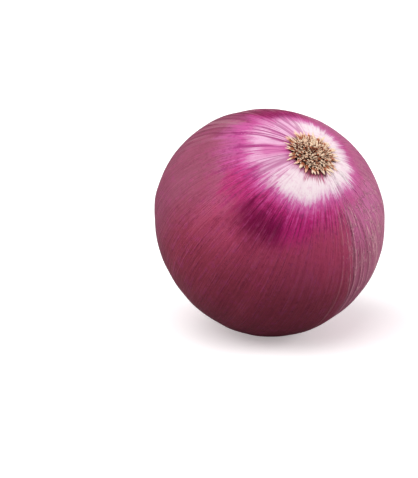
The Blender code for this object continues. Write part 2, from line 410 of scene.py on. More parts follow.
# Colours of the skin, from the roots to the neck.
CREAM = (0.97, 0.82, 0.86, 1.0)
BLUSH = (0.85, 0.47, 0.69, 1.0)
PINK = (0.72, 0.22, 0.50, 1.0)
BRUISE = (0.45, 0.035, 0.13, 1.0)
RIM_BROWN_AND_SHADE = (0.13, 0.03, 0.03, 1.0)
LILAC = (0.66, 0.09, 0.36, 1.0)
ORCHID = (0.55, 0.12, 0.33, 1.0)
RAY_PURPLE = (0.38, 0.025, 0.19, 1.0)
MAGENTA = (0.54, 0.015, 0.180, 1.0)
PLUM = (0.48, 0.056, 0.138, 1.0)
DEEP_PLUM = (0.36, 0.046, 0.090, 1.0)
DARK_PLUM = (0.17, 0.012, 0.045, 1.0)
BURGUNDY = (0.15, 0.002, 0.042, 1.0)
MAUVE = (0.55, 0.125, 0.295, 1.0)
PALE_MAUVE_SHEEN = (0.69, 0.16, 0.41, 1.0)
DUSTY_MAUVE_SHEEN = (0.62, 0.19, 0.34, 1.0)
DUSTY_ROSE = (0.50, 0.105, 0.23, 1.0)
ROSE_SHADE = (0.33, 0.070, 0.135, 1.0)
ROSY = (0.62, 0.14, 0.24, 1.0)
STRAW_AND_HIGHLIGHT = (0.86, 0.42, 0.50, 1.0)
DRY_PINK = (0.52, 0.26, 0.32, 1.0)
NECK_ROSE = (0.50, 0.055, 0.14, 1.0)
NECK_PINK_AND_HIGHLIGHT = (0.90, 0.36, 0.48, 1.0)

# The side of the onion that each effect is on: the degrees round the axis from the side that it lies on,
# and how squarely the skin has to face that way, from -1 to 1, for none of the effect and for all of it.
RAYED = (130.0, 0.2, 0.75)
ORCHID_HEART = (130.0, 0.8, 0.98)
BROAD_RAY = (111.0, 0.97, 0.995)
RAY_GAPS = ((89.0, 0.955, 0.99), (174.0, 0.95, 0.99))
BRUISED = (17.0, 0.86, 0.96)
BROAD_RIM = (15.0, 0.8, 0.95)
DULL_AND_SHEEN_EDGE = (-85.0, 0.26, 0.33)
DULL_AND_SHEEN_RISE = (-85.0, 0.1, 0.8)
LIT = (-35.0, 0.72, 0.95)
SHADED_UNDERSIDE = (25.0, 0.3, 0.85)
BARE = (2.0, 0.90, 0.98)
FAR_SIDE_ROSE_AND_SHADE = (142.0, 0.45, 0.85)
DRY = (162.0, 0.80, 0.95)
NEAR_PATCH = (55.0, 0.92, 1.0)
FAR_PATCH = (184.0, 0.88, 0.97)
CRAZED = (-45.0, 0.72, 0.93)
SEAMED = (-26.0, 0.90, 0.97)

# How far out each effect starts or ends, in millimetres along the skin from the middle of the roots: where
# there is none of it and where there is all of it.
RIM_ENDS = (9.4, 8.0)
BRUISE_ENDS = (13.6, 11.0)
LILAC_RAYS_START = (7.0, 10.0)
PURPLE_RAYS_START = (6.0, 10.0)
BROAD_RAY_ENDS = (22.0, 17.0)
PLUM_DEEPENS = (36.0, 60.0)
MAUVE_GETS_DUSTY = (30.0, 44.0)
ROSE_GETS_DUSKY = (26.0, 42.0)
DRY_STARTS = (27.0, 33.0)
CRAZED_STARTS, CRAZED_ENDS = (19.0, 26.0), (56.0, 40.0)
NEAR_PATCH_STARTS, NEAR_PATCH_ENDS = (26.0, 33.0), (46.0, 36.0)
FAR_PATCH_STARTS, FAR_PATCH_ENDS = (20.0, 25.0), (38.0, 30.0)

# The noises by name. Streaks: how many go round the onion, how fast they change with each millimetre
# along it, the noise's detail and distortion, and their slant. Blotches: scale, detail and roughness.
STREAK_ROUGHNESS = 0.6
STREAKS = {
    "flames": (16, 0.045, 3.0, 0.4, 0.0),
    "rays": (44, 0.03, 3.0, 0.5, 0.0),
    "fine_rays": (130, 0.05, 2.0, 0.0, 0.0),
    "veins": (330, 0.06, 2.0, 0.0, 0.0),
    "hairlines": (700, 0.12, 2.0, 0.0, 0.0),
    "creases": (26, 0.015, 2.0, 0.6, 0.0),
    "ray_paths": (21, 0.011, 2.0, 0.5, 0.002),
    "wrinkles": (70, 0.015, 3.0, 0.8, -0.003),
}
BLOTCHES = {
    "clouds": (45.0, 4.0, 0.6),
    "crumbs": (420.0, 3.0, 0.7),
    "specks": (900.0, 3.0, 0.65),
    "crackle": (900.0, 3.0, 0.6),
}

# How far from the middle of the roots the pale end reaches, in millimetres: on average, by how far the
# surface faces each way, shifted on some sides, and frayed by noises, each with its weight.
EDGE_MIDDLE = 19.6
EDGE_EAST, EDGE_NORTH, EDGE_DIAGONAL = -0.8, 3.6, 8.0
EDGE_SHIFTS = ((62.0, 0.92, 1.0, -1.6), (-70.0, 0.5, 0.95, 0.7))
EDGE_FRAY = {"rays": 2.6, "fine_rays": 3.6, "veins": 2.6, "hairlines": 1.6, "crumbs": 2.6}
RAYED_EDGE_FRAY = {"rays": 7.0, "flames": 5.0, "fine_rays": 4.0, "crumbs": 2.0}

# Tints close to the roots: the colour, its share, its side, and how far out it ends.
ROOT_TINTS = (
    (ORCHID, 0.7, (60.0, 0.0, 0.6), (12.5, 9.0)),
    (RAY_PURPLE, 0.8, (20.0, 0.7, 0.95), (10.6, 8.8)),
)
# Seams where one layer of dry skin ends on the next: the side, the millimetres from the roots where each
# starts, and its strength.
SEAMS = ((-5.0, 20.0, 0.25), (-15.0, 25.0, 0.75), (-20.0, 32.0, 0.45), (-27.0, 24.0, 0.5))
SEAM_FADE_IN = 6.0
SEAM_WIDTH, SEAM_CORE = 0.013, 0.001
SHADE_BESIDE, SHADE_WIDTH, SHADE_CORE = 0.024, 0.026, 0.004

CRACKS_ROUND = 12.0
CRACKS_ALONG = 0.15
CRACK_WIDTH = 0.07
CREASE_WIDTH = 0.045
WRINKLE_WIDTH = 0.12

SKIN_ROUGHNESS = 0.40
SKIN_GLOSS = 0.14
SHEEN_WEIGHT = 0.02
SHEEN_ROUGHNESS = 0.45
SHEEN_TINT = (1.0, 0.80, 0.88, 1.0)
VEIN_RELIEF = 0.10 * MM
HAIRLINE_RELIEF = 0.07 * MM
CRACKLE_RELIEF = 0.05 * MM
LINE_RELIEF = 0.2 * MM
WRINKLE_RELIEF = 0.5 * MM


def towards(east, north, degrees):
    """How far the surface faces this way round the axis, from -1 to 1."""
    return east * math.cos(math.radians(degrees)) + north * math.sin(math.radians(degrees))


def line_along(value, width, core=0.0):
    """One where the value crosses nought, falling to nothing at this width on either side."""
    return ramp(calc("ABSOLUTE", value), width, core)


class Skin:
    """Where each point of the skin lies, and the noises that its colours and relief are mixed from.

    Each of side, reach, past and grain gives a share, which goes from nought at its first limit to one
    at its second. The noises named after the limits, each with its weight, make the border stray.
    """

    def __init__(self, tree):
        self.tree = tree
        self.east, self.north, from_root = split(read(tree, "grain", "Vector"))
        self.from_root = from_root / MM
        self.place = add(tree, "ShaderNodeTexCoord", {}).outputs["Object"]
        for label, settings in STREAKS.items():
            setattr(self, label, self.streaks(*settings))
        for label, settings in BLOTCHES.items():
            setattr(self, label, mottle(self.place, *settings))
        self.rayed = self.side(*RAYED)
        # The dull side, where the dry skin looks duller and a sheen is painted into its colour.
        dull_and_sheen_edge = self.side(*DULL_AND_SHEEN_EDGE, fine_rays=0.03)
        self.dull_and_sheen = dull_and_sheen_edge * 0.6 + self.side(*DULL_AND_SHEEN_RISE, fine_rays=0.03) * 0.4
        self.beyond = self.from_root - self.pale_edge()
        self.white = self.past(0.0, -5.0)

    def streaks(self, count, run, detail, distortion, slant):
        """Noise drawn out along the onion's meridians, with about this many streaks round it."""
        x, y = self.east, self.north
        if slant:
            turn = self.from_root * slant
            cosine, sine = calc("COSINE", turn), calc("SINE", turn)
            x, y = x * cosine - y * sine, x * sine + y * cosine
        across = count / math.tau
        place = vector(x * across, y * across, self.from_root * run)
        return mottle(place, 1.0, detail, STREAK_ROUGHNESS, distortion)

    def mixed(self, **weights):
        """The noises added up, each with its weight."""
        return sum((getattr(self, label) * weight for label, weight in weights.items()), 0.0)

    def side(self, degrees, none, full, **stray):
        """A share by how far the surface faces this way round the axis, from -1 to 1."""
        return ramp(towards(self.east, self.north, degrees) + self.mixed(**stray), none, full)

    def reach(self, none, full, **stray):
        """A share by the millimetres from the middle of the roots."""
        return ramp(self.from_root + self.mixed(**stray), none, full)

    def past(self, none, full, **stray):
        """A share by the millimetres past the frayed edge of the pale end."""
        return ramp(self.beyond + self.mixed(**stray), none, full)

    def grain(self, none, full, **weights):
        """A share by noise alone."""
        return ramp(self.mixed(**weights), none, full)

    def pale_edge(self):
        """How far from the middle of the roots the pale end reaches here, in millimetres."""
        edge = EDGE_MIDDLE + self.east * EDGE_EAST + self.north * EDGE_NORTH
        edge = edge + (self.east * self.north) ** 2.0 * EDGE_DIAGONAL
        for degrees, none, full, shift in EDGE_SHIFTS:
            edge = edge + self.side(degrees, none, full) * shift
        return edge + self.mixed(**EDGE_FRAY) + self.rayed * self.mixed(**RAYED_EDGE_FRAY)

    def crack_lines(self):
        """A net of fine cracks, whose cells are longest along the meridians."""
        x = self.east * CRACKS_ROUND + self.rays * 0.8
        y = self.north * CRACKS_ROUND + self.fine_rays * 0.7
        z = self.from_root * CRACKS_ALONG + self.crumbs * 0.45
        inputs = {"Vector": vector(x, y, z), "Scale": 1.0}
        net = add(self.tree, "ShaderNodeTexVoronoi", inputs, feature="DISTANCE_TO_EDGE")
        return ramp(Amount(net.outputs["Distance"]), CRACK_WIDTH, 0.0)


def paint_root_end(skin):
    """Cream round the roots, which blushes and tinges towards the rays and is bruised on one side."""
    blushed = ramp(skin.mixed(clouds=1.0, fine_rays=0.4) + skin.rayed * 0.9, -0.2, 1.0)
    colour = blend(blushed * (0.5 + skin.rayed * 0.4), CREAM, BLUSH)
    colour = blend(skin.past(-4.2, -1.0, clouds=1.5), colour, BLUSH)
    for tint, share, side, reach in ROOT_TINTS:
        tinged = skin.reach(*reach, fine_rays=3.0, crumbs=1.5) * skin.side(*side)
        colour = blend(tinged * share, colour, tint)
    bruised = skin.grain(-0.1, 0.25, fine_rays=1.0, veins=0.6) * skin.reach(*BRUISE_ENDS, rays=3.0)
    bruised = bruised * skin.side(*BRUISED)
    return blend(bruised * 0.95, colour, BRUISE)


def paint_rays(skin, colour):
    """Lilac and purple rays that run in from the edge of the pale end, and the magenta outside it."""
    rayed = skin.rayed
    colour = blend(ramp(skin.beyond, -1.6 - rayed * 2.4, 0.6 + rayed * 1.4), colour, LILAC)
    broad_ray = skin.side(*BROAD_RAY, fine_rays=0.02) * skin.reach(*BROAD_RAY_ENDS, rays=4.0)
    lilac_rays = skin.grain(0.0, 0.5, rays=1.3, fine_rays=1.1, veins=0.5, crumbs=0.35) * rayed
    lilac_rays = lilac_rays * skin.reach(*LILAC_RAYS_START, fine_rays=3.0)
    lilac_rays = calc("MAXIMUM", lilac_rays, broad_ray)
    open_ground = 1.0 - calc("MAXIMUM", *(skin.side(*gap) for gap in RAY_GAPS)) * 0.65
    colour = blend(lilac_rays * open_ground * 0.75, colour, LILAC)
    thin_rays = skin.grain(0.2, 0.45, fine_rays=1.0, veins=0.8, crumbs=0.3) * 0.65
    purple_rays = calc("MAXIMUM", line_along(skin.mixed(ray_paths=1.0, veins=0.05), 0.10, 0.02), thin_rays)
    purple_rays = purple_rays * (0.5 + open_ground * 0.5) * (0.08 + rayed * 0.92)
    purple_rays = purple_rays * skin.reach(*PURPLE_RAYS_START, rays=5.0) * skin.past(9.0, 2.0)
    colour = blend(purple_rays * 0.9, colour, RAY_PURPLE)
    outside = blend(skin.side(*ORCHID_HEART, flames=0.2), MAGENTA, ORCHID)
    return blend(ramp(skin.beyond, 0.4, 4.6 + rayed * 2.0), colour, outside)


def paint_body(skin, colour):
    """Plum over the body, mauve with a painted sheen on the dull side, less mauve on the underside as
    painted shade, and dusty rose that deepens to painted shade on the far side.
    """
    dull_and_sheen = skin.dull_and_sheen
    mauve = skin.grain(-0.3, 0.7, flames=1.0, clouds=0.3)
    # The mauve mottling is kept low on the underside as painted shade.
    body = blend(mauve * (1.0 - skin.side(*SHADED_UNDERSIDE) * 0.65), PLUM, MAUVE)
    body = blend(skin.reach(*PLUM_DEEPENS, clouds=6.0), body, DEEP_PLUM)
    # Pale and dusty mauve on the dull side is painted sheen, palest on the lit side.
    pale = blend(skin.reach(*MAUVE_GETS_DUSTY, clouds=6.0), PALE_MAUVE_SHEEN, DUSTY_MAUVE_SHEEN)
    body = blend(dull_and_sheen * 0.85, body, blend(skin.side(*LIT), MAUVE, pale))
    # On the far side the dusty rose turns, further out, into painted shade.
    far_side_rose_and_shade = skin.side(*FAR_SIDE_ROSE_AND_SHADE, flames=0.1)
    body = blend(far_side_rose_and_shade, body, blend(skin.reach(*ROSE_GETS_DUSKY, clouds=6.0), DUSTY_ROSE, ROSE_SHADE))
    depth = skin.beyond + skin.mixed(clouds=4.0, flames=6.0) + dull_and_sheen * 11.0 + far_side_rose_and_shade * 3.0
    depth = depth + skin.side(*BARE) * 3.0
    colour = blend(ramp(depth, 6.0, 18.0), colour, body)
    dark = skin.grain(0.3, 0.8, flames=1.0, clouds=0.5) * skin.past(3.0, 9.0) * (1.0 - dull_and_sheen * 0.7)
    return blend(dark * 0.5, colour, BURGUNDY)


def dark_patches(skin):
    """The shares of the two wine-dark patches below the pale end, the near one and the far one."""
    fray = {"rays": 6.0, "fine_rays": 4.0, "clouds": 5.0, "crumbs": 2.0}
    near = skin.side(*NEAR_PATCH, fine_rays=0.05, rays=0.06, clouds=0.04)
    near = near * skin.reach(*NEAR_PATCH_STARTS, **fray) * skin.reach(*NEAR_PATCH_ENDS, **fray)
    far = skin.side(*FAR_PATCH, fine_rays=0.03, rays=0.02)
    far = far * skin.reach(*FAR_PATCH_STARTS, rays=3.0) * skin.reach(*FAR_PATCH_ENDS, rays=3.0)
    return near, far


def paint_veins(skin, colour):
    """Fine dark veins along the skin, and flecks that are purple outside the pale end and pink in it."""
    veined = skin.grain(0.0, 0.5, veins=1.0, specks=0.6) * skin.past(0.0, 6.0)
    colour = blend(veined * 0.5, colour, BURGUNDY)
    fleck = skin.grain(0.05, 0.45, hairlines=0.7, veins=0.4, crumbs=1.1)
    return blend(fleck * (0.34 - skin.white * 0.04), colour, blend(skin.white, RAY_PURPLE, PINK))


def paint_dry_skin(skin, colour, ridges, cracks, crazed, dry):
    """Pale ridges and cracks on the dull side, partly the dry skin's own colour and partly a painted
    highlight, and wrinkles with dark furrows on the dry one.
    """
    worn = skin.grain(-0.5, 0.5, specks=1.0, clouds=0.6) * skin.past(0.0, 8.0)
    raised = skin.side(*SEAMED) * 0.8 + skin.dull_and_sheen * 0.3
    # Pale ridge lines, partly the dry skin's colour and partly a painted highlight where they catch the
    # sheen.
    colour = blend(ridges * raised * worn, colour, STRAW_AND_HIGHLIGHT)
    colour = blend(cracks * crazed * skin.grain(-0.6, 0.2, specks=1.0, clouds=1.0) * 0.7, colour, STRAW_AND_HIGHLIGHT)
    colour = blend(dry * skin.grain(0.1, 0.3, wrinkles=1.0, specks=0.1) * 0.5, colour, DRY_PINK)
    return blend(dry * line_along(skin.wrinkles, WRINKLE_WIDTH) * 0.75, colour, BURGUNDY)


def paint_fibres(skin, colour):
    """The fine light and dark grain of the body, and the wisps in the magenta round the pale end."""
    dull_and_sheen = skin.dull_and_sheen
    tooth = skin.mixed(fine_rays=0.35, veins=0.7, hairlines=0.7, crumbs=0.4)
    toothed = ramp(skin.beyond, 2.0 - dull_and_sheen * 2.0, 12.0 - dull_and_sheen * 7.0)
    # The lighter grain is straw-coloured with a painted highlight on the dull side.
    light = blend(dull_and_sheen * 0.8, ROSY, STRAW_AND_HIGHLIGHT)
    colour = blend(ramp(tooth, 0.0, 0.4) * toothed * (0.23 + dull_and_sheen * 0.27), colour, light)
    colour = blend(ramp(tooth, 0.0, -0.4) * toothed * (0.26 + dull_and_sheen * 0.15), colour, DARK_PLUM)
    wisps = skin.mixed(crumbs=0.8, fine_rays=0.6, veins=1.1, hairlines=0.5)
    halo = skin.past(-2.0, 1.5) * skin.past(16.0, 8.0) * (1.0 - dull_and_sheen * 0.6)
    colour = blend(ramp(wisps, 0.05, 0.35) * halo * (0.5 - skin.rayed * 0.2), colour, BURGUNDY)
    colour = blend(ramp(wisps, -0.05, -0.35) * halo * skin.past(12.0, 5.0) * 0.7, colour, LILAC)
    return blend(ramp(wisps, -0.15, -0.5) * halo * skin.past(6.0, 1.0) * 0.5, colour, BLUSH)


def paint_seams(skin, colour):
    """Pale seams, partly the dry edge's own colour and partly a painted highlight, with a painted shadow
    beside each, and how far the skin is raised along them.
    """
    raised = 0.0
    for degrees, start, strength in SEAMS:
        sideways = towards(skin.east, skin.north, degrees + 90.0)
        sideways = sideways + skin.mixed(rays=0.012, clouds=0.014, crumbs=0.003)
        run = skin.reach(start, start + SEAM_FADE_IN, clouds=6.0) * ramp(skin.east, 0.2, 0.5) * strength
        # A painted shadow beside each seam.
        shade = line_along(sideways - SHADE_BESIDE, SHADE_WIDTH, SHADE_CORE) * run
        colour = blend(shade * 0.7, colour, DARK_PLUM)
        # The seam's pale line, partly a painted highlight on the raised edge.
        line = line_along(sideways, SEAM_WIDTH, SEAM_CORE) * run * 0.85
        colour = blend(line * skin.grain(-0.6, 0.2, specks=1.0, clouds=1.0), colour, STRAW_AND_HIGHLIGHT)
        raised = raised + line
    return colour, raised


def paint_ends(skin, colour):
    """The brown rim of the root recess, partly painted shade under the roots, and the folded neck, with
    painted highlights on its ridges and painted shade in its grooves and creases.
    """
    # A dark brown ring round the recess, partly the dry skin's own brown and partly painted shade under the
    # roots.
    rim_reach = skin.from_root + skin.mixed(fine_rays=3.0, veins=1.5) - skin.side(*BROAD_RIM) * 1.6
    colour = blend(ramp(rim_reach, *RIM_ENDS) * 0.9, colour, RIM_BROWN_AND_SHADE)
    gathered, fold, knob = (Amount(read(skin.tree, label)) for label in ("gathered", "fold", "knob"))
    necked = ramp(gathered + skin.veins * 0.1, 0.35, 1.0)
    colour = blend(necked * 0.8, colour, NECK_ROSE)
    # Painted highlight along the outward folds, and the knob's own pink crust.
    ridge_highlight = ramp(fold + skin.mixed(veins=0.04, crumbs=0.03), 0.01, 0.10) * necked
    crust = skin.grain(-0.1, 0.4, crumbs=1.0) * knob
    colour = blend(calc("MAXIMUM", ridge_highlight * 0.6, crust * 0.7), colour, NECK_PINK_AND_HIGHLIGHT)
    # Painted shade in the grooves of the folds.
    groove_shade = ramp(fold + skin.veins * 0.03, -0.01, -0.08) * ramp(gathered, 0.2, 0.9)
    colour = blend(groove_shade, colour, BURGUNDY)
    # Painted shade along thin creases of the neck and knob.
    crease_shade = line_along(mottle(skin.place, 520.0, 2.0, 0.6, 0.6), 0.07)
    return blend(crease_shade * (necked * 0.3 + knob * 0.35), colour, BURGUNDY)


def skin_finish():
    """The skin's colour, painted from the lowest layer up, and its gloss and fine relief."""
    finish, tree, shader = new_finish("onion_skin")
    skin = Skin(tree)
    ridges = line_along(skin.creases, CREASE_WIDTH) * skin.grain(-0.5, 0.1, creases=1.0, clouds=1.0)
    cracks = skin.crack_lines()
    crazed = skin.side(*CRAZED, rays=0.1)
    crazed = crazed * skin.reach(*CRAZED_STARTS, rays=8.0) * skin.reach(*CRAZED_ENDS, rays=8.0)
    dry = skin.side(*DRY) * skin.reach(*DRY_STARTS, clouds=6.0)
    near_patch, far_patch = dark_patches(skin)

    colour = paint_rays(skin, paint_root_end(skin))
    colour = paint_body(skin, colour)
    colour = blend(calc("MAXIMUM", near_patch * 0.85, far_patch * 0.6), colour, BURGUNDY)
    colour = paint_veins(skin, colour)
    colour = paint_dry_skin(skin, colour, ridges, cracks, crazed, dry)
    colour = paint_fibres(skin, colour)
    colour, seams = paint_seams(skin, colour)
    colour = paint_ends(skin, colour)
    tree.links.new(colour, shader.inputs["Base Color"])

    rough = SKIN_ROUGHNESS + skin.mixed(veins=0.06, clouds=0.05)
    gloss = SKIN_GLOSS - calc("MAXIMUM", near_patch, far_patch) * 0.12
    tree.links.new(rough.socket, shader.inputs["Roughness"])
    tree.links.new(gloss.socket, shader.inputs["Specular IOR Level"])
    shader.inputs["Sheen Weight"].default_value = SHEEN_WEIGHT
    shader.inputs["Sheen Roughness"].default_value = SHEEN_ROUGHNESS
    shader.inputs["Sheen Tint"].default_value = SHEEN_TINT
    lines = ridges * (skin.side(*SEAMED) + skin.dull_and_sheen * 0.4) + cracks * crazed + seams
    off_white = 1.0 - skin.white * 0.7
    heights = (
        (skin.veins * off_white, VEIN_RELIEF),
        (skin.hairlines * off_white, HAIRLINE_RELIEF),
        (skin.crackle, CRACKLE_RELIEF),
        (lines, LINE_RELIEF),
        (skin.wrinkles * dry, WRINKLE_RELIEF),
    )
    bump(tree, shader, heights)
    return finish


skin = grow(
    "onion_skin",
    curve_of("outline_and_axis", [outline(), axis_line()]),
    bulb_tree(),
    BULB_SIZES,
    skin_finish(),
)
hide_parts("bulb")
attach(skin, "root")


# The woody root plate
# The short hard stem that the layers grow from shows as a low brown dome in a recess of the skin, pitted
# where old roots broke off. It is grown onto the bulb.
PLATE_RADIUS = 6.0 * MM
PLATE_CROWN = 0.5 * MM
PLATE_EDGE_FALL = 0.9 * MM
PLATE_SUNK = 0.3 * MM
PLATE_RINGS = 24
PLATE_SIDES = 90
PLATE_LUMP = 0.35 * MM
PLATE_LUMP_GRAIN = 1.1 * MM
PIT_SCALE = 900.0
PIT_RELIEF = 0.2 * MM
WOOD_DARK = (0.035, 0.006, 0.004, 1.0)
WOOD_BROWN = (0.10, 0.035, 0.018, 1.0)


def plate_mesh():
    """A low dome with a lumpy top, closed underneath."""
    bottom = -ROOT_HALF_HEIGHT + RECESS_DEPTH - PLATE_SUNK
    form = bmesh.new()
    rows = []
    for ring in range(PLATE_RINGS + 1):
        share = ring / PLATE_RINGS
        top = -ROOT_HALF_HEIGHT - PLATE_CROWN + PLATE_EDGE_FALL * share**2
        row = []
        for side in range(PLATE_SIDES):
            angle = math.tau * side / PLATE_SIDES
            x, y = PLATE_RADIUS * share * math.cos(angle), PLATE_RADIUS * share * math.sin(angle)
            lump = PLATE_LUMP * noise.noise(Vector((x, y, 0.0)) / PLATE_LUMP_GRAIN)
            row.append(form.verts.new((x, y, top + lump)))
        rows.append(row)
    rows.append([form.verts.new((point.co.x, point.co.y, bottom)) for point in rows[-1]])
    rows.append([form.verts.new((0.0, 0.0, bottom)) for _ in range(PLATE_SIDES)])
    for row, after in zip(rows, rows[1:]):
        for side in range(PLATE_SIDES):
            beside = (side + 1) % PLATE_SIDES
            form.faces.new((row[side], row[beside], after[beside], after[side]))
    mesh = bpy.data.meshes.new("root_plate")
    form.to_mesh(mesh)
    form.free()
    return mesh


def plate_finish():
    """Dark dry wood, darkest in its pits."""
    finish, tree, shader = new_finish("root_plate_wood")
    place = add(tree, "ShaderNodeTexCoord", {}).outputs["Object"]
    pits = mottle(place, PIT_SCALE, detail=3.0, roughness=0.6)
    tree.links.new(blend(ramp(pits, -0.2, 0.5), WOOD_DARK, WOOD_BROWN), shader.inputs["Base Color"])
    shader.inputs["Roughness"].default_value = 0.85
    bump(tree, shader, ((pits, PIT_RELIEF),))
    return finish


plate = settle("root_plate", plate_mesh())
plate.data.materials.append(plate_finish())
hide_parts("root_tuft")
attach(plate, "root")


# The dried roots
# Trimmed and dried roots, hollow and stiff, grow from the plate: short broken stubs in the middle, which
# lean further out towards the edge, a collar of flat pointed ones splayed over the skin, and fine hairs.
STUB_SIZES = {
    "Count": 250,
    "Steps": 7,
    "Sides": 6,
    "Inner radius": 0.0,
    "Outer radius": 5.2 * MM,
    "Sunk": 0.4 * MM,
    "Shortest": 0.5 * MM,
    "Longest": 2.5 * MM,
    "Thickness": 0.26 * MM,
    "Flatness": 0.75,
    "Taper": -0.3,
    "Tip power": 14.0,
    "Centre lean": 0.1,
    "Edge lean": 0.8,
    "Lean spread": 0.5,
    "Bend": 0.7,
    "Sway": 1.2,
    "Curl": 0.7 * MM,
    "Lift": 0.1 * MM,
    "Seed": 3,
}
SEED_STEP = 17
GOLDEN_ANGLE = math.radians(137.508)
ANGLE_STRAY = 0.12
LEAN_POWER = 1.4
THICKNESS_SPREAD = (0.75, 1.2)
WANDER_ACROSS, WANDER_ALONG, WANDER_SEED = 3.17, 1.7, 5.3
PLATE_LIP = 0.3 * MM


def root_tree():
    """Roots set round the plate by the golden angle, each swept out and curled by its own draw."""
    tree, inlet, size = new_tree("dried_roots", STUB_SIZES)
    straight = add(tree, "GeometryNodeCurvePrimitiveLine", {"End": (0.0, 0.0, 1.0)}).outputs[0]
    straight = add(tree, "GeometryNodeResampleCurve", {0: straight, "Count": size["Steps"]}).outputs[0]
    inputs = {0: straight, "Amount": size["Count"]}
    copies = add(tree, "GeometryNodeDuplicateElements", inputs, domain="SPLINE")
    index = Amount(copies.outputs["Duplicate Index"])
    along = Amount(add(tree, "GeometryNodeSplineParameter", {}).outputs["Factor"])

    def draw(turn, low, high):
        inputs = {2: low, 3: high, "ID": index, "Seed": size["Seed"] * SEED_STEP + turn}
        return Amount(add(tree, "FunctionNodeRandomValue", inputs, data_type="FLOAT").outputs[1])

    share = calc("SQRT", (index + 0.5) / size["Count"])
    foot = size["Inner radius"] + (size["Outer radius"] - size["Inner radius"]) * share
    angle = index * GOLDEN_ANGLE + draw(1, -ANGLE_STRAY, ANGLE_STRAY)
    edge = foot / PLATE_RADIUS
    lean = size["Centre lean"] + (size["Edge lean"] - size["Centre lean"]) * edge**LEAN_POWER
    lean = lean + draw(2, -1.0, 1.0) * size["Lean spread"] + size["Bend"] * along * 0.5
    heading = angle + draw(3, -1.0, 1.0) * size["Sway"]
    length = draw(4, size["Shortest"], size["Longest"]) * along
    reach = length * calc("SINE", lean)
    rise = length * calc("COSINE", lean)
    wander = vector(index * WANDER_ACROSS, along * WANDER_ALONG, size["Seed"] * WANDER_SEED)
    inputs = {"Vector": wander, "Scale": 1.0, "Detail": 1.0}
    strayed = add(tree, "ShaderNodeTexNoise", inputs).outputs["Color"]
    stray_x, stray_y, stray_z = [(part - 0.5) * size["Curl"] * along * 2.0 for part in split(strayed)]
    x = foot * calc("COSINE", angle) + reach * calc("COSINE", heading) + stray_x
    y = foot * calc("SINE", angle) + reach * calc("SINE", heading) + stray_y
    out = PLATE_CROWN - PLATE_EDGE_FALL * edge**2 - size["Sunk"] + rise + stray_z

    distance = calc("SQRT", x * x + y * y)
    skin_fall = (1.0 - calc("SQRT", 1.0 - (distance / BULB_RADIUS) ** 2.0)) * ROOT_HALF_HEIGHT
    clear = calc("MAXIMUM", out, size["Lift"] + size["Thickness"] * size["Flatness"] - skin_fall)
    past_plate = ramp(distance, PLATE_RADIUS - PLATE_LIP, RECESS_RIM)
    out = out + (clear - out) * past_plate
    place = vector(x, y, -ROOT_HALF_HEIGHT - out)

    shaped = keep(tree, copies.outputs[0], "along", along)
    shaped = keep(tree, shaped, "tone", draw(5, 0.0, 1.0))
    shaped = add(tree, "GeometryNodeSetPosition", {0: shaped, "Position": place}).outputs[0]
    shaped = add(tree, "GeometryNodeSetCurveNormal", {0: shaped}, mode="Z_UP").outputs[0]
    thick = size["Thickness"] * (1.0 - size["Taper"] * along) * draw(6, *THICKNESS_SPREAD)
    thick = thick * calc("SQRT", calc("MAXIMUM", 1.0 - along ** size["Tip power"], 0.0))
    inputs = {"Resolution": size["Sides"], "Radius": 1.0}
    ring = add(tree, "GeometryNodeCurvePrimitiveCircle", inputs).outputs[0]
    flat = vector(1.0, size["Flatness"], 1.0)
    ring = add(tree, "GeometryNodeTransform", {0: ring, "Scale": flat}).outputs[0]
    inputs = {0: shaped, 1: ring, "Scale": thick, "Fill Caps": True}
    tubes = add(tree, "GeometryNodeCurveToMesh", inputs).outputs[0]
    end_tree(tree, inlet, tubes)
    return tree


FLECK_SCALE = 1400.0
FLECK_RELIEF = 0.08 * MM


def root_finish(name, dark, middle, light):
    """Dry root skin, darker at the foot as painted shade down among the roots, with a tone of its own for
    each root.
    """
    finish, tree, shader = new_finish(name)
    along, tone = Amount(read(tree, "along")), Amount(read(tree, "tone"))
    place = add(tree, "ShaderNodeTexCoord", {}).outputs["Object"]
    specks = mottle(place, FLECK_SCALE, roughness=0.6)
    tipped = ramp(along + specks * 0.15, 0.42, 0.72) * ramp(tone, 0.1, 0.4)
    pale = ramp(tone + specks * 0.2, 0.36, 0.76)
    # The foot takes the first colour, painted shade down among the roots.
    foot = ramp(along + specks * 0.2 + tone * 0.2, 0.74, 0.44)
    colour = blend(foot, blend(calc("MAXIMUM", tipped, pale), middle, light), dark)
    tree.links.new(colour, shader.inputs["Base Color"])
    shader.inputs["Roughness"].default_value = 0.6
    shader.inputs["Specular IOR Level"].default_value = 0.25
    bump(tree, shader, ((specks, FLECK_RELIEF),))
    return finish


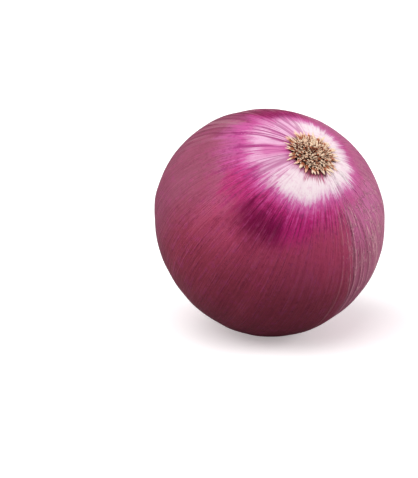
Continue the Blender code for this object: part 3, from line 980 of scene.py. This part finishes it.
ROOT_SHADE = (0.15, 0.020, 0.012, 1.0)
ROOT_BROWN = (0.42, 0.125, 0.058, 1.0)
ROOT_TAN = (0.78, 0.38, 0.27, 1.0)
ROOT_CREAM = (1.00, 0.77, 0.57, 1.0)
ROOT_PEACH = (0.97, 0.56, 0.37, 1.0)
COLLAR_SIZES = {
    **STUB_SIZES,
    "Count": 48,
    "Steps": 8,
    "Sides": 8,
    "Inner radius": 5.5 * MM,
    "Outer radius": 6.4 * MM,
    "Shortest": 2.8 * MM,
    "Longest": 4.5 * MM,
    "Thickness": 0.66 * MM,
    "Flatness": 0.40,
    "Taper": 0.60,
    "Tip power": 3.0,
    "Centre lean": 1.1,
    "Edge lean": 1.25,
    "Lean spread": 0.15,
    "Bend": 0.3,
    "Sway": 0.2,
    "Curl": 0.25 * MM,
    "Seed": 11,
}
PETAL_SIZES = {
    **COLLAR_SIZES,
    "Count": 50,
    "Inner radius": 4.3 * MM,
    "Outer radius": 5.6 * MM,
    "Shortest": 2.0 * MM,
    "Longest": 3.0 * MM,
    "Thickness": 0.44 * MM,
    "Flatness": 0.5,
    "Centre lean": 0.6,
    "Edge lean": 1.0,
    "Lean spread": 0.25,
    "Sway": 0.35,
    "Seed": 31,
}
HAIR_SIZES = {
    **STUB_SIZES,
    "Count": 260,
    "Steps": 9,
    "Sides": 4,
    "Outer radius": 5.9 * MM,
    "Shortest": 1.4 * MM,
    "Longest": 2.8 * MM,
    "Thickness": 0.085 * MM,
    "Flatness": 1.0,
    "Lean spread": 0.8,
    "Bend": 1.0,
    "Sway": 1.0,
    "Curl": 1.1 * MM,
    "Seed": 23,
}
roots = root_tree()
# Each root's colours: the painted shade at its foot, then its middle and its pale tip.
for root_name, root_sizes, root_colours in (
    ("root_stubs", STUB_SIZES, (ROOT_SHADE, ROOT_BROWN, ROOT_CREAM)),
    ("root_petals", PETAL_SIZES, (ROOT_SHADE, ROOT_TAN, ROOT_CREAM)),
    ("root_collar", COLLAR_SIZES, (ROOT_BROWN, ROOT_PEACH, ROOT_CREAM)),
    ("root_hairs", HAIR_SIZES, (ROOT_SHADE, ROOT_BROWN, ROOT_CREAM)),
):
    nothing = bpy.data.meshes.new(root_name + "_start")
    finish = root_finish(root_name + "_skin", *root_colours)
    piece = grow(root_name, nothing, roots, root_sizes, finish)
    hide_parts("root_tuft")
    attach(piece, "root")


# The table and the light
# A white table top runs on into a plain white surround. To the camera the table glows, least near the onion
# so that its shadow shows, and pinker there as a painted reflection of the onion in its shadow; to other
# light it is grey. A large soft light hangs above it and a soft panel stands on each side, as round any
# small thing photographed on white.
TABLE_SIZE = 6.0
TABLE_GREY = (0.22, 0.21, 0.21, 1.0)
TABLE_WHITE = (0.92, 0.92, 0.92, 1.0)
PAINTED_BOUNCE_GLOW = (1.0, 0.90, 0.92, 1.0)
FAR_GLOW = (1.0, 0.985, 0.985, 1.0)
GLOW_TURNS = (0.04, 0.09)
GLOW_RISES = (0.15, 0.7)
GLOW_LEAST = 0.37
SKY_LIGHT = 0.34
bpy.ops.mesh.primitive_plane_add(size=TABLE_SIZE)
table = bpy.context.object
table.name = "table"
white, white_tree, white_shader = new_finish("table_white")
seen = Amount(add(white_tree, "ShaderNodeLightPath", {}).outputs["Is Camera Ray"])
table_colour = blend(seen, TABLE_GREY, TABLE_WHITE)
white_tree.links.new(table_colour, white_shader.inputs["Base Color"])
spot = split(add(white_tree, "ShaderNodeTexCoord", {}).outputs["Object"])
off_middle = calc("SQRT", spot[0] * spot[0] + spot[1] * spot[1])
glow = (GLOW_LEAST + ramp(off_middle, *GLOW_RISES) * (1.0 - GLOW_LEAST)) * seen
white_tree.links.new(glow.socket, white_shader.inputs["Emission Strength"])
# Pinker near the onion: a painted reflection of the onion's colour in its shadow.
glow_colour = blend(ramp(off_middle, *GLOW_TURNS), PAINTED_BOUNCE_GLOW, FAR_GLOW)
white_tree.links.new(glow_colour, white_shader.inputs["Emission Color"])
white_shader.inputs["Roughness"].default_value = 0.9
white_shader.inputs["Specular IOR Level"].default_value = 0.0
table.data.materials.append(white)

surround = bpy.data.worlds.new("surround")
surround.use_nodes = True
sky = surround.node_tree.nodes["Background"]
seen = Amount(add(surround.node_tree, "ShaderNodeLightPath", {}).outputs["Is Camera Ray"])
surround.node_tree.links.new((SKY_LIGHT + seen * (1.0 - SKY_LIGHT)).socket, sky.inputs["Strength"])
sky.inputs["Color"].default_value = (1.0, 1.0, 1.0, 1.0)
bpy.context.scene.world = surround


def soft_panel(name, place, aim, width, height, power):
    """A flat rectangular lamp facing what it lights."""
    light = bpy.data.lights.new(name, "AREA")
    light.shape = "RECTANGLE"
    light.size = width
    light.size_y = height
    light.energy = power
    lamp = bpy.data.objects.new(name, light)
    lamp.location = place
    lamp.rotation_euler = (Vector(place) - Vector(aim)).to_track_quat("Z", "Y").to_euler()
    bpy.context.scene.collection.objects.link(lamp)


BULB_MIDDLE = Vector((0.0, 0.0, BELLY_HEIGHT))
soft_panel("light_above", (-0.34, -0.56, 1.06), BULB_MIDDLE, width=1.2, height=1.2, power=13.0)
soft_panel("light_left", (-0.75, 0.05, 0.40), BULB_MIDDLE, width=0.45, height=0.5, power=1.5)
soft_panel("light_right", (0.75, 0.10, 0.25), BULB_MIDDLE, width=0.35, height=0.45, power=3.2)


# The camera
# It looks along +Y and 14 degrees down, and is aimed past the onion, which stands right of the middle.
LENS = 105.0
FRAME_WIDE, FRAME_HIGH = 418.0, 478.0
SENSOR = 36.0
PIXELS_PER_RADIAN = LENS / SENSOR * FRAME_HIGH
EYE_DISTANCE = 0.485
EYE_LIFT = math.radians(14.0)
AIMED_AT = Vector((0.0, 0.0, 0.040))
SEEN_AT = (272.5, 220.6)
camera_data = bpy.data.cameras.new("camera")
camera_data.lens = LENS
camera_data.sensor_width = SENSOR
camera_data.sensor_fit = "AUTO"
camera = bpy.data.objects.new("camera", camera_data)
bpy.context.scene.collection.objects.link(camera)
camera.location = AIMED_AT + EYE_DISTANCE * Vector((0.0, -math.cos(EYE_LIFT), math.sin(EYE_LIFT)))
turn_right = math.atan((FRAME_WIDE / 2 - SEEN_AT[0]) / PIXELS_PER_RADIAN)
turn_down = math.atan((SEEN_AT[1] - FRAME_HIGH / 2) / PIXELS_PER_RADIAN)
camera.rotation_euler = (math.pi / 2 - EYE_LIFT + turn_down, 0.0, -turn_right)
bpy.context.scene.camera = camera
bpy.context.scene.view_settings.view_transform = "Standard"
